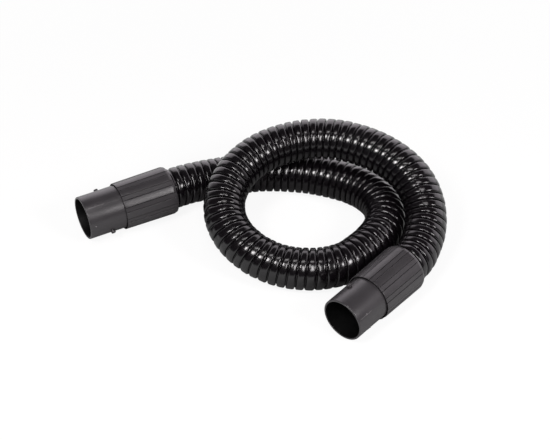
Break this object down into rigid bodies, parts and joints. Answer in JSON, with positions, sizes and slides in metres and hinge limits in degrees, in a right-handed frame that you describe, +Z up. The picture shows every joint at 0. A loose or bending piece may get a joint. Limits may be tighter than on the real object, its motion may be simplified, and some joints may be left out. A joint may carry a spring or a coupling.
{
  "type": "vacuum hose",
  "caption": "Short corrugated vacuum hose with a swivel cuff on each end, laid in one loose loop.",
  "frame": {"origin": "on the floor, below the middle of the plan box that holds the two cuffs; the free hose is left out of that box", "axes": "+Z up from the floor, +X along the longer side of the cuffs' plan box, from cuff a's mouth towards cuff b"},
  "size_m": [0.4094, 0.2785, 0.0977],
  "materials": {
    "hose": "glossy black moulded polyethylene, corrugated",
    "cuff": "satin charcoal moulded polypropylene",
    "ferrule": "plain moulded acetal",
    "seal": "matt black soft rubber"
  },
  "bodies": {
    "root": {"hose": "hose", "ferrule_a": "ferrule", "ferrule_b": "ferrule"},
    "cuff_a": {"spigot_a": "cuff", "grip_a": "cuff", "seal_a": "seal"},
    "cuff_b": {"spigot_b": "cuff", "grip_b": "cuff", "seal_b": "seal"}
  },
  "joints": [
    {"name": "swivel_a", "type": "hinge", "parent": "root", "child": "cuff_a", "pos_m": [-0.12575, 0.07742, 0.02738], "axis": [0.8874, 0.461, 0], "continuous": true},
    {"name": "swivel_b", "type": "hinge", "parent": "root", "child": "cuff_b", "pos_m": [0.14086, -0.06056, 0.02738], "axis": [0.66, 0.7513, 0], "continuous": true}
  ]
}
